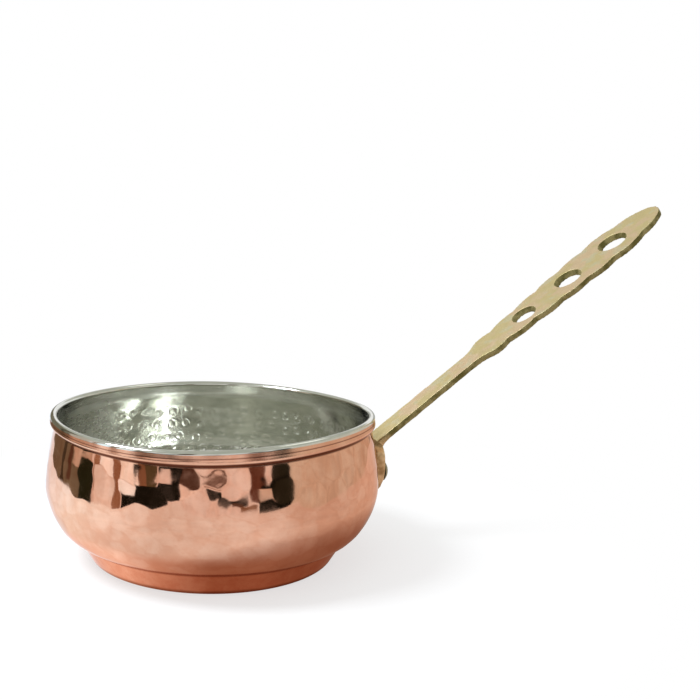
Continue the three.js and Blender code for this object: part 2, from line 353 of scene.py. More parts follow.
# %% [markdown]
# ## Hammer marks
#
# The outside is planished: a flat-faced hammer leaves a small, nearly flat facet at every blow. The
# inside shows the round marks of a ball-faced hammer. Both are rows of marks around the bowl, so one
# helper finds, for every vertex, the nearest marks in the rows beside it and joins their surfaces
# softly. Every mark sits a little off its place and leans a little, from a seeded random list. The
# helper also tells how deep each vertex's mark is, and how near the mark's edge it lies.


# %% Marks in rows
FEWEST_MARKS = 5
DEPTH_SHARE = 0.25


def marks(around, up, radius_at, row_pitch, mark_pitch, across, upward, lean, spread, softness, seed):
    rows = int(math.ceil(up.max() / row_pitch)) + 2
    row_radius = radius_at((np.arange(rows + 2) - 1) * row_pitch)
    counts = np.maximum(np.round(math.tau * row_radius / mark_pitch), FEWEST_MARKS)
    most = int(counts.max()) + 3
    chance = np.random.default_rng(seed)
    shift = chance.uniform(-spread, spread, (rows + 2, most, 2))
    tilt = chance.normal(0, lean, (rows + 2, most, 2))
    depth = chance.uniform(-1, 1, (rows + 2, most))
    turnings = chance.uniform(0, 1, rows + 2)
    nearest = np.round(up / row_pitch).astype(int)
    total, toned, largest_share = np.zeros((3, len(up)))
    for step in (-2, -1, 0, 1, 2):
        row = np.clip(nearest + step, -1, rows) + 1
        count = counts[row].astype(int)
        slot = np.round(around / math.tau * count - turnings[row]).astype(int)
        for beside in (-1, 0, 1):
            number = np.mod(slot + beside, count)
            middle = (slot + beside + turnings[row]) * math.tau / count
            dx = (around - middle) * radius_at(up) - shift[row, number, 0] * mark_pitch
            dy = up - (row - 1) * row_pitch - shift[row, number, 1] * row_pitch
            height = dx * dx / (2 * across) + dy * dy / (2 * upward)
            height += tilt[row, number, 0] * dx + tilt[row, number, 1] * dy
            height += DEPTH_SHARE * softness * depth[row, number]
            share = np.exp(-height / softness)
            total += share
            toned += share * depth[row, number]
            largest_share = np.maximum(largest_share, share)
    return -softness * np.log(total), toned / total, 2 * (1 - largest_share / total)


# %% [markdown]
# ## Waves of the mouth
#
# The mouth of the real bowl isn't quite round or level, because it was raised by eye. A few slow
# waves, fading out towards the belly, give it that hand-made line. They are sums of sines and
# cosines of the bearing, which close smoothly around the bowl.

# %% Waves of the mouth
PHOTO_TURN = math.radians(14)
WAVE_TOP, WAVE_FADE = 60.5, 1.6
RIM_RISE = (0.76, 0.63, -0.52, 0.74, -0.62, -0.16, -0.42)
RIM_SPREAD = (-0.81, -0.55, -0.27, -0.54, 0.45, 0.22, -0.72)
HEM_DEPTH = (-0.33, 0.41, 0.07, -0.71, 0.0)


def wave(terms, angle):
    total = np.full_like(angle, terms[0])
    for k in range(1, (len(terms) + 1) // 2):
        total += terms[2 * k - 1] * np.cos(k * angle) + terms[2 * k] * np.sin(k * angle)
    return total


def wave_the_mouth(points):
    angle = np.arctan2(points[:, 1], points[:, 0]) + PHOTO_TURN
    weight = np.clip((points[:, 2] - BELLY[1]) / (WAVE_TOP - BELLY[1]), 0, 1) ** WAVE_FADE
    radius = np.hypot(points[:, 0], points[:, 1])
    scale = 1 + weight * wave(RIM_SPREAD, angle) / np.maximum(radius, 1)
    points[:, :2] *= scale[:, None]
    points[:, 2] += weight * wave(RIM_RISE, angle)
    return points


rim_rise = wave(RIM_RISE, np.linspace(0, math.tau, 361))
print("the rim moves between", round(rim_rise.min(), 1), "and", round(rim_rise.max(), 1), "mm")

# %% [markdown]
# ## Hammering the outside
#
# The facets run from the crease to the hem, and move the surface in and out by tenths of a
# millimetre, so the bowl keeps its size. They fade out at both ends, where a hammer can't reach
# into the corner.

# %% Facets on the copper
points = read_points(copper_bowl)
place = along_outline(points, copper_outline)
length, outward = outline_guides(copper_outline)
neck_at = len(outside) - 1
belly = slice(crease_at, neck_at + 1)
on_belly = (place >= crease_at) & (place <= neck_at)
climb = length[place[on_belly]] - length[crease_at]
to_the_neck = length[neck_at] - length[crease_at] - climb
angle = np.arctan2(points[:, 1], points[:, 0])
facets, facet_tone, facet_edge = marks(
    angle[on_belly], climb,
    lambda up: np.interp(up, length[belly] - length[crease_at], copper_outline[belly, 0]),
    row_pitch=5.6, mark_pitch=6.6, across=170, upward=130,
    lean=0.013, spread=0.22, softness=0.009, seed=3,
)
facets -= facets.mean()
fade = smooth_step(0.2, 3, climb) * smooth_step(0, 1.5, to_the_neck)
sink = np.zeros(len(points))
sink[on_belly] = facets * fade
print("facets reach from", round(float(sink.min()), 2), "to", round(float(sink.max()), 2), "mm")

# %% [markdown]
# ## What the finish has to know
#
# The crease, the groove over the bead, the gap under it and the lower edge of the foot get painted
# shade, and every facet has its own tone, a little darker at its edge. So the height that each vertex
# had before the waves, and the tone and edge of its hammer mark, are kept as attributes that the
# finish can follow. Then the flap is given its uneven lower edge, and all the marks and waves are
# pressed into the copper.

# %% Attributes for the finish
FLAP_POINTS = (8, 40)
hem_wave = wave(HEM_DEPTH, angle + PHOTO_TURN)
toward_hem = np.where(on_belly, hem_wave * smooth_step(50, 55.5, points[:, 2]), 0)
keep(copper_bowl, "turned_height", points[:, 2] + toward_hem)
tone, edge = np.zeros((2, len(points)))
tone[on_belly], edge[on_belly] = facet_tone * fade, facet_edge * fade
keep(copper_bowl, "mark_tone", tone)
keep(copper_bowl, "mark_edge", edge)
below_fold = np.clip((HEM_CENTRE[1] - points[:, 2]) / (HEM_CENTRE[1] - NECK[1]), 0, 1)
on_flap = (place > neck_at + FLAP_POINTS[0]) & (place < neck_at + FLAP_POINTS[1])
points[:, 2] -= np.where(on_flap, hem_wave * below_fold, 0)
move_out(points, angle, outward[place], sink)
write_points(copper_bowl, wave_the_mouth(points))

# %% [markdown]
# ## Dimpling the inside
#
# The marks inside are round and hollow, and the tin has pooled a little between them. Low ridges
# are raised into the bowl instead of hollows being sunk through the thin tin. Each blow also leaves
# a fine ring, far too thin for the mesh: how far a vertex lies from the middle of its mark is kept
# as an attribute, and the finish draws the ring from it. The band below the lip is smooth, with one
# soft groove where the wall was trued.

# %% Dimples in the tin
SMOOTH_BAND = 7.0
RIDGE_HEIGHT, RIDGE_REACH = 0.14, 0.3
GROOVE_DEPTH, GROOVE_AT, GROOVE_WIDTH = 0.06, 5.5, 1.6
TIN_BUILD_UP = 0.08
SMALLEST_ROW = 2.0
points = read_points(tinned_inside)
place = along_outline(points, tin_outline)
length, outward = outline_guides(tin_outline)
visible_from = len(tin_outline) - TINNED_STEPS
inner = place >= visible_from
down = length[place[inner]] - length[visible_from]
angle = np.arctan2(points[:, 1], points[:, 0])


def tin_radius(down):
    lengths = length[visible_from:] - length[visible_from]
    return np.maximum(np.interp(down, lengths, tin_outline[visible_from:, 0]), SMALLEST_ROW)


dimples = marks(
    angle[inner], down, tin_radius,
    row_pitch=6.4, mark_pitch=7.2, across=14, upward=14,
    lean=0.03, spread=0.14, softness=0.025, seed=8,
)[0]
dimples -= dimples.min()
ring_place = np.ones(len(points))
ring_place[inner] = dimples + 2 * (1 - smooth_step(SMOOTH_BAND, SMOOTH_BAND + 3, down))
keep(tinned_inside, "ring_place", ring_place)
ridges = RIDGE_HEIGHT * (1 - np.exp(-dimples / RIDGE_REACH))
strength = smooth_step(SMOOTH_BAND, SMOOTH_BAND + 5, down)
trued_groove = -GROOVE_DEPTH * np.exp(-((down - GROOVE_AT) / GROOVE_WIDTH) ** 2)
raise_by = np.zeros(len(points))
raise_by[inner] = ridges * strength + TIN_BUILD_UP * smooth_step(0.5, 4, down) + trued_groove
print("dimple ridges reach", round(float(raise_by.max()), 2), "mm")
move_out(points, angle, outward[place], raise_by)
write_points(tinned_inside, wave_the_mouth(points))

# %% [markdown]
# ## The brass handle
#
# The handle is one casting. Its grip has scalloped edges and three oval holes, so its outline is
# drawn flat, as a pattern maker would draw it on a board. Each hole is given by its place along the
# handle, its length and its width.

# %% Outline of the handle
HANDLE_SLOPE = math.radians(37.6)
HANDLE_ROOT = (72.0, 46.1)
HANDLE_THICKNESS = 2.8
HANDLE_LENGTH = 184.2
FIRST_NOTCH, NOTCH_PITCH = 80.2, 16.05
NARROW_NOTCH, NOTCH_GROWTH, GROWTH_CURVE = 18, 9.7, 1.4
SCALLOP_DEPTH, LAST_SCALLOP_DEPTH = 1.4, 2.2
HOLES = ((96.3, 12.2, 13.0), (125.0, 14.0, 15.0), (154.7, 14.8, 15.4))
NOTCH_AT = [FIRST_NOTCH + NOTCH_PITCH * i for i in range(5)]
NOTCH_WIDTH = [NARROW_NOTCH + NOTCH_GROWTH * (1 - (1 - i / 4) ** GROWTH_CURVE) for i in range(5)]


def bowed(a, b, bulge, steps=7):
    a, b = np.array(a, float), np.array(b, float)
    along = (b - a) / np.linalg.norm(b - a)
    return bend(a, (a + b) / 2 + 2 * bulge * np.array([-along[1], along[0]]), b, steps)[1:]


collar, shoulder, tip = (71, 10), (165, 12.2), (HANDLE_LENGTH, 0)
edge = [line((-2, 6.3), (14, 6.25), 4), line((14, 6.25), (58, 6.0), 8)[1:]]
edge.append(curve((58, 6), (64.5, 6), (65.5, 7), collar, 8)[1:])
edge.append(bowed(collar, (NOTCH_AT[0], NOTCH_WIDTH[0] / 2), 0.9))
for i in range(4):
    notch, next_notch = ((NOTCH_AT[k], NOTCH_WIDTH[k] / 2) for k in (i, i + 1))
    edge.append(bowed(notch, next_notch, SCALLOP_DEPTH))
edge.append(bowed((NOTCH_AT[4], NOTCH_WIDTH[4] / 2), shoulder, LAST_SCALLOP_DEPTH))
edge.append(curve(shoulder, (shoulder[0] + 9.5, shoulder[1]), (tip[0], 7), tip, 14)[1:])
edge = np.vstack(edge)
plate_outline = np.vstack([edge, (edge * (1, -1))[-2::-1]])
print("plate outline", len(plate_outline), "points")

# %% [markdown]
# ## Cutting a board
#
# The helper fills a flat outline around its holes, and gives the sheet a thickness. It cuts the
# plate now, and the leaf and the fillet later.


# %% Filled sheet helper
def filled_sheet(name, outline, holes, thickness):
    points = [(x * MM, y * MM, 0.0) for x, y in outline]
    piece = first_vertex(name, points[0])
    draw_on(points + points[:1])
    select_all()
    bpy.ops.mesh.remove_doubles(threshold=SAME_PLACE)
    for at, length, width in holes:
        middle = (at * MM, 0, 0)
        bpy.ops.mesh.select_all(action="DESELECT")
        bpy.ops.mesh.primitive_circle_add(vertices=48, radius=length / 2 * MM, location=middle)
        bpy.ops.transform.resize(value=(1, width / length, 1), center_override=middle)
    select_all()
    bpy.ops.mesh.fill()
    select_all()
    bpy.ops.mesh.extrude_region_move(TRANSFORM_OT_translate={"value": (0, 0, -thickness * MM)})
    select_all()
    bpy.ops.mesh.normals_make_consistent(inside=False)
    bpy.ops.object.mode_set(mode="OBJECT")
    print(name, "has", len(piece.data.polygons), "faces")
    return piece


# %% [markdown]
# ## The plate and its holes
#
# The holes narrow towards the underside, as they do where a casting has to slip out of its mould.
# Then the plate is tilted to its slope.

# %% Plate with its holes
HOLE_TAPER = (0.82, 0.76)
NEAR_HOLE = 0.52
handle = filled_sheet("brass_handle", plate_outline, HOLES, HANDLE_THICKNESS)
points = read_points(handle)
for at, length, width in HOLES:
    around_hole = np.hypot((points[:, 0] - at) / length, points[:, 1] / width) < NEAR_HOLE
    low_ring = around_hole & (points[:, 2] < -HANDLE_THICKNESS / 2)
    points[low_ring, 0] = at + HOLE_TAPER[0] * (points[low_ring, 0] - at)
    points[low_ring, 1] *= HOLE_TAPER[1]
write_points(handle, points)
handle.rotation_euler = (0, -HANDLE_SLOPE, 0)
handle.location = (HANDLE_ROOT[0] * MM, 0, HANDLE_ROOT[1] * MM)
bpy.ops.object.transform_apply(location=True, rotation=True)

# %% [markdown]
# ## The leaf that holds the bowl
#
# At its root the casting spreads into a leaf-shaped plate that follows the wall and takes the
# rivets. It is drawn flat as seen from the handle's end, cut into small faces, and then each vertex
# is laid on the wall at its own height, a hair's breadth clear of the copper.

# %% Leaf plate
LEAF_GAP, LEAF_THICKNESS = 0.3, 4.4
HALF_WIDTH, HALF_TOP = 15.3, 8.5
top, widest, leaf_tip = HANDLE_ROOT[1] + 1.2, HANDLE_ROOT[1] - 4.6, HANDLE_ROOT[1] - 25.4
side = (HALF_WIDTH, widest)
above_side = (HALF_WIDTH, widest + 0.667 * (top - widest))
beside_top = (HALF_WIDTH - 0.333 * (HALF_WIDTH - HALF_TOP), top)
leaf_edge = np.vstack([
    curve((0, leaf_tip), (8, leaf_tip + 0.8), (HALF_WIDTH, widest - 8.4), side, 16),
    curve(side, above_side, beside_top, (HALF_TOP, top), 8)[1:],
])
leaf_outline = np.vstack([leaf_edge, (leaf_edge * (-1, 1))[::-1][:-1]])
leaf = filled_sheet("leaf", leaf_outline, (), LEAF_THICKNESS)
remesh = leaf.modifiers.new("even faces", "REMESH")
remesh.mode, remesh.voxel_size = "VOXEL", 0.6 * MM
bpy.ops.object.modifier_apply(modifier=remesh.name)
flat = read_points(leaf)
across, height, depth = flat[:, 0], flat[:, 1], flat[:, 2] + LEAF_THICKNESS
radius = wall_radius(height) + LEAF_GAP + depth
write_points(leaf, np.c_[np.sqrt(radius ** 2 - across ** 2), across, height])
print("leaf has", len(leaf.data.polygons), "faces")

# %% [markdown]
# ## A fillet under the bar
#
# Where the bar leaves the leaf there would be a sharp corner. A pattern maker fills it with a strip
# of wax, hollow along its free side. The strip is drawn from the side and made as wide as the bar.

# %% Fillet under the bar
FILLET_WIDTH = 11.6
along_bar = np.array([math.cos(HANDLE_SLOPE), math.sin(HANDLE_SLOPE)])
corner = np.array([75.7, 45.4])
low_end, high_end = corner + (0.1, -5.5), corner + 6.0 * along_bar
hollow = bend(low_end, corner, high_end, 10)
sunk_in = [high_end + (-0.7, 0.95), (74.5, 46.2), (74.5, low_end[1])]
gusset = filled_sheet("gusset", np.vstack([hollow, sunk_in]), (), FILLET_WIDTH)
flat = read_points(gusset)
write_points(gusset, np.c_[flat[:, 0], flat[:, 2] + FILLET_WIDTH / 2, flat[:, 1]])

# %% [markdown]
# ## One casting
#
# Plate, leaf and fillet are joined and remeshed as one body of small cubes. A few passes of
# smoothing round every edge, as molten brass does in a sand mould. A weak cloud displacement leaves
# the slightly uneven skin of a casting.

# %% Join, remesh and smooth
CASTING_GRAIN, SKIN_DEPTH, SKIN_SIZE = 0.42, 0.35, 5
nothing_selected()
for part in (leaf, gusset, handle):
    part.select_set(True)
bpy.context.view_layer.objects.active = handle
bpy.ops.object.join()
for name, kind, settings in (
    ("one body", "REMESH", {"mode": "VOXEL", "voxel_size": CASTING_GRAIN * MM}),
    ("soft edges", "SMOOTH", {"factor": 0.5, "iterations": 3}),
):
    modifier = handle.modifiers.new(name, kind)
    for key, value in settings.items():
        setattr(modifier, key, value)
    bpy.ops.object.modifier_apply(modifier=modifier.name)
clouds = bpy.data.textures.new("casting skin", "CLOUDS")
clouds.noise_scale = SKIN_SIZE * MM
skin = handle.modifiers.new("casting skin", "DISPLACE")
skin.texture, skin.strength, skin.mid_level = clouds, SKIN_DEPTH * MM, 0.5
bpy.ops.object.modifier_apply(modifier=skin.name)
bpy.ops.object.shade_smooth()
print("casting has", len(handle.data.polygons), "faces")

# %% [markdown]
# ## Room beside the wall
#
# Smoothing brings a few vertices too near the copper. They are pushed back to the leaf's gap.

# %% Casting clear of the wall
points = read_points(handle)
radius = np.hypot(points[:, 0], points[:, 1])
least = wall_radius(points[:, 2]) + LEAF_GAP
inside_wall = (radius < least) & (points[:, 2] < NECK[1])
push = np.where(inside_wall, least / np.maximum(radius, 1), 1)
points[:, :2] *= push[:, None]
write_points(handle, points)
print("pushed back", int(np.sum(push > 1)), "vertices")

# %% [markdown]
# ## Rivets
#
# Three brass rivets go through the leaf, the wall and the tin. All are turned from one outline, with
# a domed head outside and a lower one inside.


# %% Rivet outline
SHANK_RADIUS = 2.0
INNER_HEAD, OUTER_HEAD = (3.3, 1.4), (4.6, 2.0)
INNER_PLAY, OUTER_PLAY = 0.4, 0.3


def dome(radius, height, seat, side, steps=10):
    ball = (radius ** 2 + height ** 2) / (2 * height)
    spread = math.degrees(math.asin(radius / ball))
    points = arc((0, seat + side * (height - ball)), ball, side * (90 - spread), side * 90, steps)
    points[-1, 0] = 0
    return points


inner_seat = -SHEET - TINNING - INNER_PLAY
outer_seat = LEAF_GAP + LEAF_THICKNESS + OUTER_PLAY
rivet_outline = np.vstack([
    dome(*INNER_HEAD, inner_seat, -1)[::-1],
    [(SHANK_RADIUS, inner_seat), (SHANK_RADIUS, outer_seat)],
    dome(*OUTER_HEAD, outer_seat, 1),
])
print("rivet outline", len(rivet_outline), "points")


# %% [markdown]
# ## Rivets in their places
#
# Each rivet is turned upright and then laid square to the slope of the wall at its own height.


# %% Three rivets
def rivet(name, across, height):
    piece = turn(name, rivet_outline, 48)
    rise = wall_radius(height + 0.5) - wall_radius(height - 0.5)
    radius = float(wall_radius(height))
    around = math.asin(across / radius)
    lie = Matrix.Rotation(around, 4, "Z") @ Matrix.Translation((radius * MM, 0, height * MM))
    piece.matrix_world = lie @ Matrix.Rotation(math.pi / 2 + math.atan(float(rise)), 4, "Y")
    bpy.ops.object.transform_apply(location=True, rotation=True)
    return piece


near_rivet = rivet("near_rivet", -8.2, 34.3)
far_rivet = rivet("far_rivet", 8.2, 34.3)
low_rivet = rivet("low_rivet", 0, 27.1)

# %% [markdown]
# ## Shader sums in plain Python
#
# A finish is a sum of masks and patterns. Written as Python expressions, the sums stay readable: a
# `Signal` wraps one output of a node, and adding or multiplying two of them adds a Math node.


# %% Signals
class Signal:
    def __init__(self, finish, socket):
        self.finish, self.socket = finish, socket

    def sum(self, operation, first, second):
        return self.finish.node("Math", {"operation": operation}, {0: first, 1: second})

    def __add__(self, other):
        return self.sum("ADD", self, other)

    def __sub__(self, other):
        return self.sum("SUBTRACT", self, other)

    def __rsub__(self, other):
        return self.sum("SUBTRACT", other, self)

    def __mul__(self, other):
        return self.sum("MULTIPLY", self, other)

    def __truediv__(self, other):
        return self.sum("DIVIDE", self, other)

    __radd__, __rmul__ = __add__, __mul__


# %% [markdown]
# ## One class for a material
#
# The `Finish` class holds one material. Its method `node` places any node by Blender's name for it,
# without the word ShaderNode, and short methods place those that come back often: noise of a size
# in millimetres, a soft step, a band between two soft steps, a kept attribute, a glow.


# %% Finishes
class Finish:
    def __init__(self, name, **constants):
        self.material = bpy.data.materials.new(name)
        self.material.use_nodes = True
        self.tree = self.material.node_tree
        self.shader = self.tree.nodes["Principled BSDF"]
        for key, value in constants.items():
            self.shader.inputs[key.replace("_", " ")].default_value = value
        self.place = self.node("TexCoord", output="Object")

    def node(self, kind, settings=None, inputs=None, output=0):
        node = self.tree.nodes.new("ShaderNode" + kind)
        for key, value in (settings or {}).items():
            if key == "stops":
                ramp = node.color_ramp.elements
                while len(ramp) < len(value):
                    ramp.new(0.5)
                for element, (position, colour) in zip(ramp, value):
                    element.position = position
                    element.color = (*colour, 1)
            else:
                setattr(node, key, value)
        for key, value in (inputs or {}).items():
            if isinstance(value, Signal):
                self.tree.links.new(value.socket, node.inputs[key])
            elif node.inputs[key].type == "RGBA":
                node.inputs[key].default_value = (*value, 1)
            else:
                node.inputs[key].default_value = value
        return Signal(self, node.outputs[output])

    def noise(self, size, detail=2.0, roughness=0.5, stretch=(1, 1, 1)):
        scale = tuple(s / (size * MM) for s in stretch)
        where = self.node("Mapping", {}, {"Vector": self.place, "Scale": scale})
        inputs = {"Vector": where, "Scale": 1.0, "Detail": detail, "Roughness": roughness}
        return self.node("TexNoise", {}, inputs)

    def between(self, value, low, high):
        smooth = {"interpolation_type": "SMOOTHSTEP"}
        return self.node("MapRange", smooth, {0: value, 1: low, 2: high})

    def band(self, value, low, full, fading, high):
        return self.between(value, low, full) * (1 - self.between(value, fading, high))

    def kept(self, name):
        return self.node("Attribute", {"attribute_name": name}, output="Fac")

    def emission(self, colour, strength):
        return self.node("Emission", {}, {"Color": colour, "Strength": strength})

    def blend(self, share, first, second):
        return self.node("Mix", {"data_type": "RGBA"}, {0: share, 6: first, 7: second}, output=2)

    def parts_of_place(self):
        split = self.tree.nodes.new("ShaderNodeSeparateXYZ")
        self.tree.links.new(self.place.socket, split.inputs[0])
        return [Signal(self, split.outputs[i]) for i in range(3)]

    def use(self, **links):
        for key, signal in links.items():
            self.tree.links.new(signal.socket, self.shader.inputs[key.replace("_", " ")])
        print(self.material.name, "has", len(self.tree.nodes), "nodes")

    def bump(self, height, strength):
        inputs = {"Height": height, "Distance": MM, "Strength": strength}
        return self.node("Bump", {}, inputs)


# %% [markdown]
# ## Polished copper
#
# The wall is buffed bright, so its colour comes mostly from what it mirrors. The foot is duller,
# and darker and redder: partly oxide from the fire, partly painted shade of the shadowed floor.
# The crease, the groove over the bead, the place under the bead and the lower edge of the foot get
# dark lines of painted shade, with some oxide in the crease. The bands are given by the heights in
# millimetres that the vertices had before the mouth was waved. The specular tint keeps even the
# flattest reflections coppery.

# %% Copper finish
copper = Finish("polished copper", Metallic=1.0, Specular_Tint=(0.86, 0.68, 0.60, 1))
height = copper.kept("turned_height")
cloudy = copper.noise(22, 3)
patchy = copper.noise(6, 3, 0.6)
hairlines = copper.noise(1.6, 3, 0.6, stretch=(1, 1, 0.12))
uneven = height + 0.8 * copper.noise(7) - 0.4
foot = 1 - copper.between(uneven, 9.5, 12.5)
# Painted shade, with some oxide, darkens the crease band, which is also rougher.
shaded_crease = copper.band(height, 9.0, 10.0, 10.9, 12.8)
# Painted contact shadow along the lower edge of the foot.
foot_contact_shade = 1 - copper.between(uneven, 0.8, 2.6)
hem = copper.between(height, 57.6, 58.2)
# Painted shadow in the gap under the bead.
shadow_under_bead = copper.band(height, 55.5, 56.2, 57.3, 57.8)
# Painted shade in the groove over the bead.
bead_groove_shade = copper.band(height, 59.15, 59.4, 59.5, 59.8)
seam = copper.between(height, 61.9, 62.1)
marked = 0.08 * copper.kept("mark_tone") - 0.10 * copper.kept("mark_edge")
shade = copper.between(0.5 * cloudy + 0.5 * patchy + marked, 0.32, 0.66)
bright = copper.blend(shade, (0.78, 0.41, 0.275), (0.88, 0.53, 0.385))
fire_marks = copper.between(0.75 * patchy + 0.25 * hairlines, 0.35, 0.65)
# Darker, redder foot: partly oxide from the fire, partly painted shade of the shadowed floor.
fired_and_shaded = copper.blend(fire_marks, (0.72, 0.29, 0.17), (0.80, 0.38, 0.24))
colour = copper.blend(foot, bright, fired_and_shaded)
# The first four dark lines are painted shade, the crease with some oxide too; the seam line marks
# where the tin ends.
for line_share, dark in (
    (0.8 * shaded_crease, (0.34, 0.10, 0.05)),
    (0.85 * foot_contact_shade, (0.22, 0.06, 0.025)),
    (0.95 * shadow_under_bead, (0.11, 0.03, 0.014)),
    (0.75 * bead_groove_shade, (0.20, 0.06, 0.03)),
    (0.5 * seam, (0.35, 0.13, 0.07)),
):
    colour = copper.blend(line_share, colour, dark)
hammered = copper.noise(5, 1.5, 0.4) * 0.02 + copper.noise(1.6) * 0.003
copper.use(
    Base_Color=colour,
    Roughness=0.05 + 0.03 * shade + 0.10 * foot + 0.2 * shadow_under_bead + 0.13 * hem + 0.30 * shaded_crease,
    Normal=copper.bump(hammered + hairlines * 0.005 * foot, 0.9),
)

# %% [markdown]
# ## Wiped tin
#
# Tin is wiped on hot with a rag. It is greyer and softer than silver, with faint streaks from the
# wiping and a fine ring around each mark of the hammer. The band below the lip and one side of the
# wall are a little duller, because hands and spoons rub them most.

# %% Tin finish
DULL_SIDE = (-0.766, 0.643)
tin = Finish("wiped tin", Metallic=1.0)
streaks = tin.noise(9, 3, 0.6, stretch=(1, 1, 3))
grain = tin.noise(0.9)
ring = tin.band(tin.kept("ring_place") + 0.12 * tin.noise(3), 0.14, 0.24, 0.25, 0.37)
across, back, above = tin.parts_of_place()
toward_side = DULL_SIDE[0] * across + DULL_SIDE[1] * back
dull_wall = tin.between(toward_side, 0.0632, 0.0655) * (1 - tin.between(above, 0.0565, 0.0585))
dull_band = tin.band(above, 0.0540, 0.0560, 0.0600, 0.0608)
colour = tin.blend(tin.between(streaks, 0.3, 0.7), (0.67, 0.68, 0.63), (0.76, 0.76, 0.71))
tin.use(
    Base_Color=colour,
    Roughness=0.06 + 0.09 * streaks + 0.02 * grain + 0.16 * dull_wall + 0.12 * dull_band,
    Normal=tin.bump(0.09 * ring + 0.05 * tin.noise(14) + grain * 0.003, 0.8),
)

# %% [markdown]
# ## Cast brass
#
# The face of the handle is filed and buffed over a cast skin that still shows as soft dents. The
# sides are olive as they came from the mould, and darker still, which is painted shade. The leaf's
# colour is warmer and browner, a painted reflection of the copper beside it. The face is told from
# the sides by the direction in which the surface looks. The rounded edge between them takes the dark
# side colour and is the roughest part, so it has no bright rim.

# %% Brass finish
brass = Finish("cast brass", Metallic=1.0)
facing = brass.node("VectorMath", {"operation": "DOT_PRODUCT"}, {
    0: brass.node("NewGeometry", output="Normal"),
    1: (-math.sin(HANDLE_SLOPE), 0, math.cos(HANDLE_SLOPE)),
}, output="Value")
face = brass.between(facing, 0.86, 0.975)
rounded_edge = brass.between(facing, 0.15, 0.5) * (1 - face)
patches = brass.noise(11)
spots = brass.noise(5)
skin_noise = brass.noise(2.4)
top_colour = brass.blend(brass.between(patches, 0.42, 0.58), (0.88, 0.72, 0.38), (0.97, 0.73, 0.48))
top_colour = brass.blend(0.7 * brass.between(spots, 0.5, 0.68), top_colour, (0.82, 0.75, 0.52))
leaf_share = 1 - brass.between(brass.parts_of_place()[2], 0.045, 0.052)
# Painted reflection: the leaf is warmer and browner, as if mirroring the copper beside it.
leaf_reflection_colour = brass.blend(brass.between(spots, 0.3, 0.7), (0.48, 0.30, 0.14), (0.95, 0.72, 0.45))
# Side colour: olive as cast, and darker as painted shade on the sides and the rounded edge.
shaded_side_colour = brass.blend(brass.between(spots, 0.35, 0.65), (0.17, 0.15, 0.05), (0.38, 0.33, 0.16))
shaded_side_colour = brass.blend(0.9 * leaf_share, shaded_side_colour, leaf_reflection_colour)
brass.use(
    Base_Color=brass.blend(face, shaded_side_colour, top_colour),
    Roughness=0.50 - 0.20 * face + 0.12 * spots + 0.35 * rounded_edge,
    Normal=brass.bump(brass.noise(8) * 0.22 + spots * 0.09 + skin_noise * 0.03, 0.9),
)

# %% [markdown]
# ## Brass of the rivets
#
# The rivets were hammered over and never filed, so they are dull and dark beside the handle.

# %% Rivet finish
rivet_brass = Finish("rivet brass", Metallic=1.0)
tone = rivet_brass.noise(2.0, 3)
rivet_brass.use(
    Base_Color=rivet_brass.blend(tone, (0.16, 0.15, 0.085), (0.30, 0.27, 0.14)),
    Roughness=0.25 + 0.15 * tone,
    Normal=rivet_brass.bump(tone * 0.1, 0.8),
)

# %% [markdown]
# ## Joining the pieces to the frame
#
# Each row holds a piece, its finish, the CAD node it stands for, and the material slot that the
# record gives to that node. The piece gets its finish and hangs under the root body, and the CAD
# node is hidden.

# %% Finishes, nodes and slots
for piece, finish, node, slot in (
    (copper_bowl, copper, "bowl_shell", "copper"),
    (tinned_inside, tin, "tin_lining", "tin"),
    (handle, brass, "handle", "brass"),
    (near_rivet, rivet_brass, "rivet_near", "rivet_brass"),
    (far_rivet, rivet_brass, "rivet_far", "rivet_brass"),
    (low_rivet, rivet_brass, "rivet_low", "rivet_brass"),
):
    piece.data.materials.clear()
    piece.data.materials.append(finish.material)
    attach(piece, "root")
    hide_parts(node)
    print(piece.name, "stands for", node)

# %% [markdown]
# ## Camera
#
# The camera looks slightly down on the pan from about half a metre, and leans a little. Its lens is
# given as a focal length in pixels of the picture. The camera's three directions are worked out
# first and then set as one matrix.

# %% Camera
CAMERA_PLACE = (-0.1089, -0.4366, 0.1623)
PITCH, ROLL, HEADING = (math.radians(degrees) for degrees in (8.95, 2.70, 21.19))
SENSOR_WIDTH, FOCAL_PIXELS, PICTURE_WIDTH = 36, 1053.7, 700
level_share = math.cos(PITCH)
forward = Vector((math.sin(HEADING) * level_share, math.cos(HEADING) * level_share, -math.sin(PITCH)))
level_right = Vector((math.cos(HEADING), -math.sin(HEADING), 0))
level_up = level_right.cross(forward)
right = math.cos(ROLL) * level_right + math.sin(ROLL) * level_up
up = math.cos(ROLL) * level_up - math.sin(ROLL) * level_right
camera_data = bpy.data.cameras.new("camera")
camera_data.sensor_width = SENSOR_WIDTH
camera_data.lens = SENSOR_WIDTH * FOCAL_PIXELS / PICTURE_WIDTH
camera = bpy.data.objects.new("camera", camera_data)
aimed = Matrix((right, up, -forward)).transposed().to_4x4()
camera.matrix_world = Matrix.Translation(CAMERA_PLACE) @ aimed
print("lens", round(camera_data.lens, 1), "mm")
bpy.context.scene.collection.objects.link(camera)
bpy.context.scene.camera = camera

# %% [markdown]
# ## Floor, room and light
#
# Polished metal has no look of its own: it shows the room. The pieces of the room are flat disks
# and strips with stage materials, most of which only glow. Some are there for reflections alone.


# %% Stage pieces and materials
def disk(name, corners, radius, place):
    nothing_selected()
    size = {"vertices": corners, "radius": radius}
    bpy.ops.mesh.primitive_circle_add(fill_type="NGON", location=place, **size)
    piece = bpy.context.object
    piece.name = name
    print(name, "has a radius of", radius, "m")
    return piece


